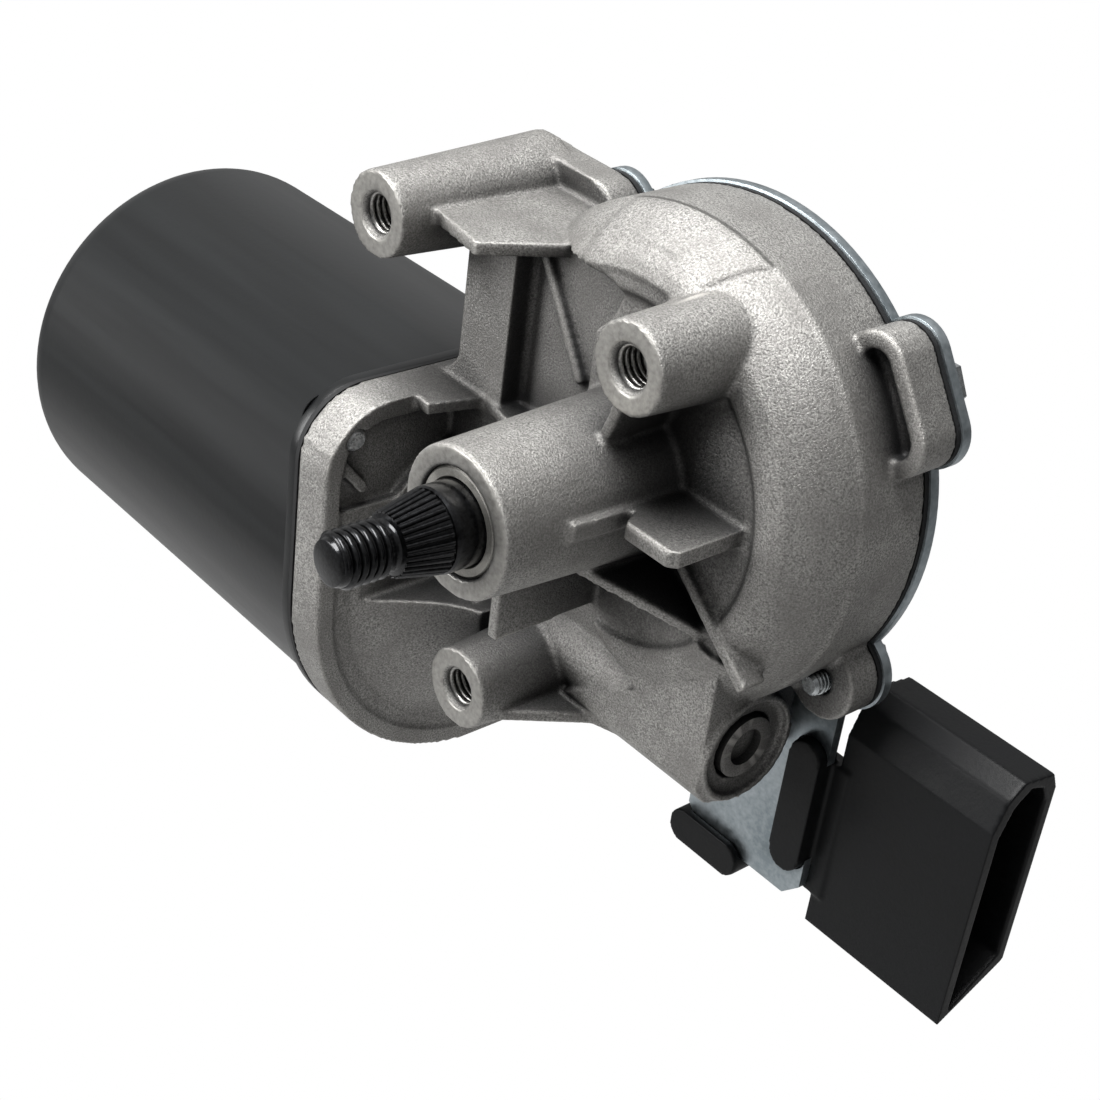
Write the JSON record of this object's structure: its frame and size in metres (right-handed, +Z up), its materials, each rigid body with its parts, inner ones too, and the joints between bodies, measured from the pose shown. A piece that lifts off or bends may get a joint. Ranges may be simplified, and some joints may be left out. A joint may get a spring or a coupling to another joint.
{
  "type": "wiper motor",
  "caption": "Electric wiper motor: motor can, die-cast worm gear housing with threaded mounting bosses, splined output shaft and side plug.",
  "frame": {"origin": "on the axis of the output shaft, in the plane of the three mounting boss faces", "axes": "-Y along the output shaft towards its threaded tip, +X from the motor can towards the plug, along the armature, +Z up"},
  "size_m": [0.193, 0.0938, 0.1084],
  "materials": {
    "cast_aluminium": "sand-textured die-cast skin",
    "black_painted_steel": "semi-gloss black stove enamel",
    "zinc_plated_steel": "blue passivated zinc",
    "black_oxide_steel": "oiled black oxide",
    "bright_steel": "ground",
    "sintered_bronze": "oil-soaked sintered",
    "brass_sheet": "stamped",
    "copper_wire": "enamelled",
    "ferrite": "ground ceramic",
    "carbon": "pressed graphite",
    "black_plastic": "glass-filled, moulded",
    "natural_plastic": "moulded acetal",
    "card_plastic": "pressed phenolic",
    "rubber": "nitrile"
  },
  "bodies": {
    "root": {"gear_housing": "cast_aluminium", "front_bush": "sintered_bronze", "rear_bush": "sintered_bronze", "bearing_balls": "bright_steel", "bearing_outer_race": "bright_steel", "bearing_clip": "black_oxide_steel", "worm_end_bush": "sintered_bronze", "thrust_pad": "natural_plastic", "end_play_plug": "cast_aluminium", "flange_gasket": "rubber", "motor_can": "black_painted_steel", "flange_screws": "black_oxide_steel", "magnets": "ferrite", "magnet_springs": "bright_steel", "can_bush": "sintered_bronze", "bush_retainer": "bright_steel", "brush_plate": "card_plastic", "brush_boxes": "brass_sheet", "brushes": "carbon", "brush_springs": "bright_steel", "choke_coils": "copper_wire", "cover_gasket": "rubber", "rear_cover": "zinc_plated_steel", "cover_screws": "zinc_plated_steel", "contact_fingers": "brass_sheet", "plug_housing": "black_plastic", "plug_blades": "brass_sheet"},
    "armature": {"armature_shaft": "bright_steel", "armature_core": "bright_steel", "windings": "copper_wire", "commutator": "brass_sheet", "bearing_inner_race": "bright_steel"},
    "output": {"output_shaft": "black_oxide_steel", "worm_wheel": "natural_plastic", "contact_disc": "brass_sheet", "thrust_washer": "bright_steel", "shaft_clip": "black_oxide_steel", "shaft_seal": "rubber"}
  },
  "joints": [
    {"name": "armature_spin", "type": "hinge", "parent": "root", "child": "armature", "pos_m": [0, 0.0228, -0.0367], "axis": [1, 0, 0], "continuous": true},
    {"name": "output_spin", "type": "hinge", "parent": "root", "child": "output", "pos_m": [0, 0, 0], "axis": [0, 1, 0], "continuous": true}
  ],
  "couplings": [
    {"joint": "output_spin", "follows": "armature_spin", "ratio": 0.015873}
  ]
}
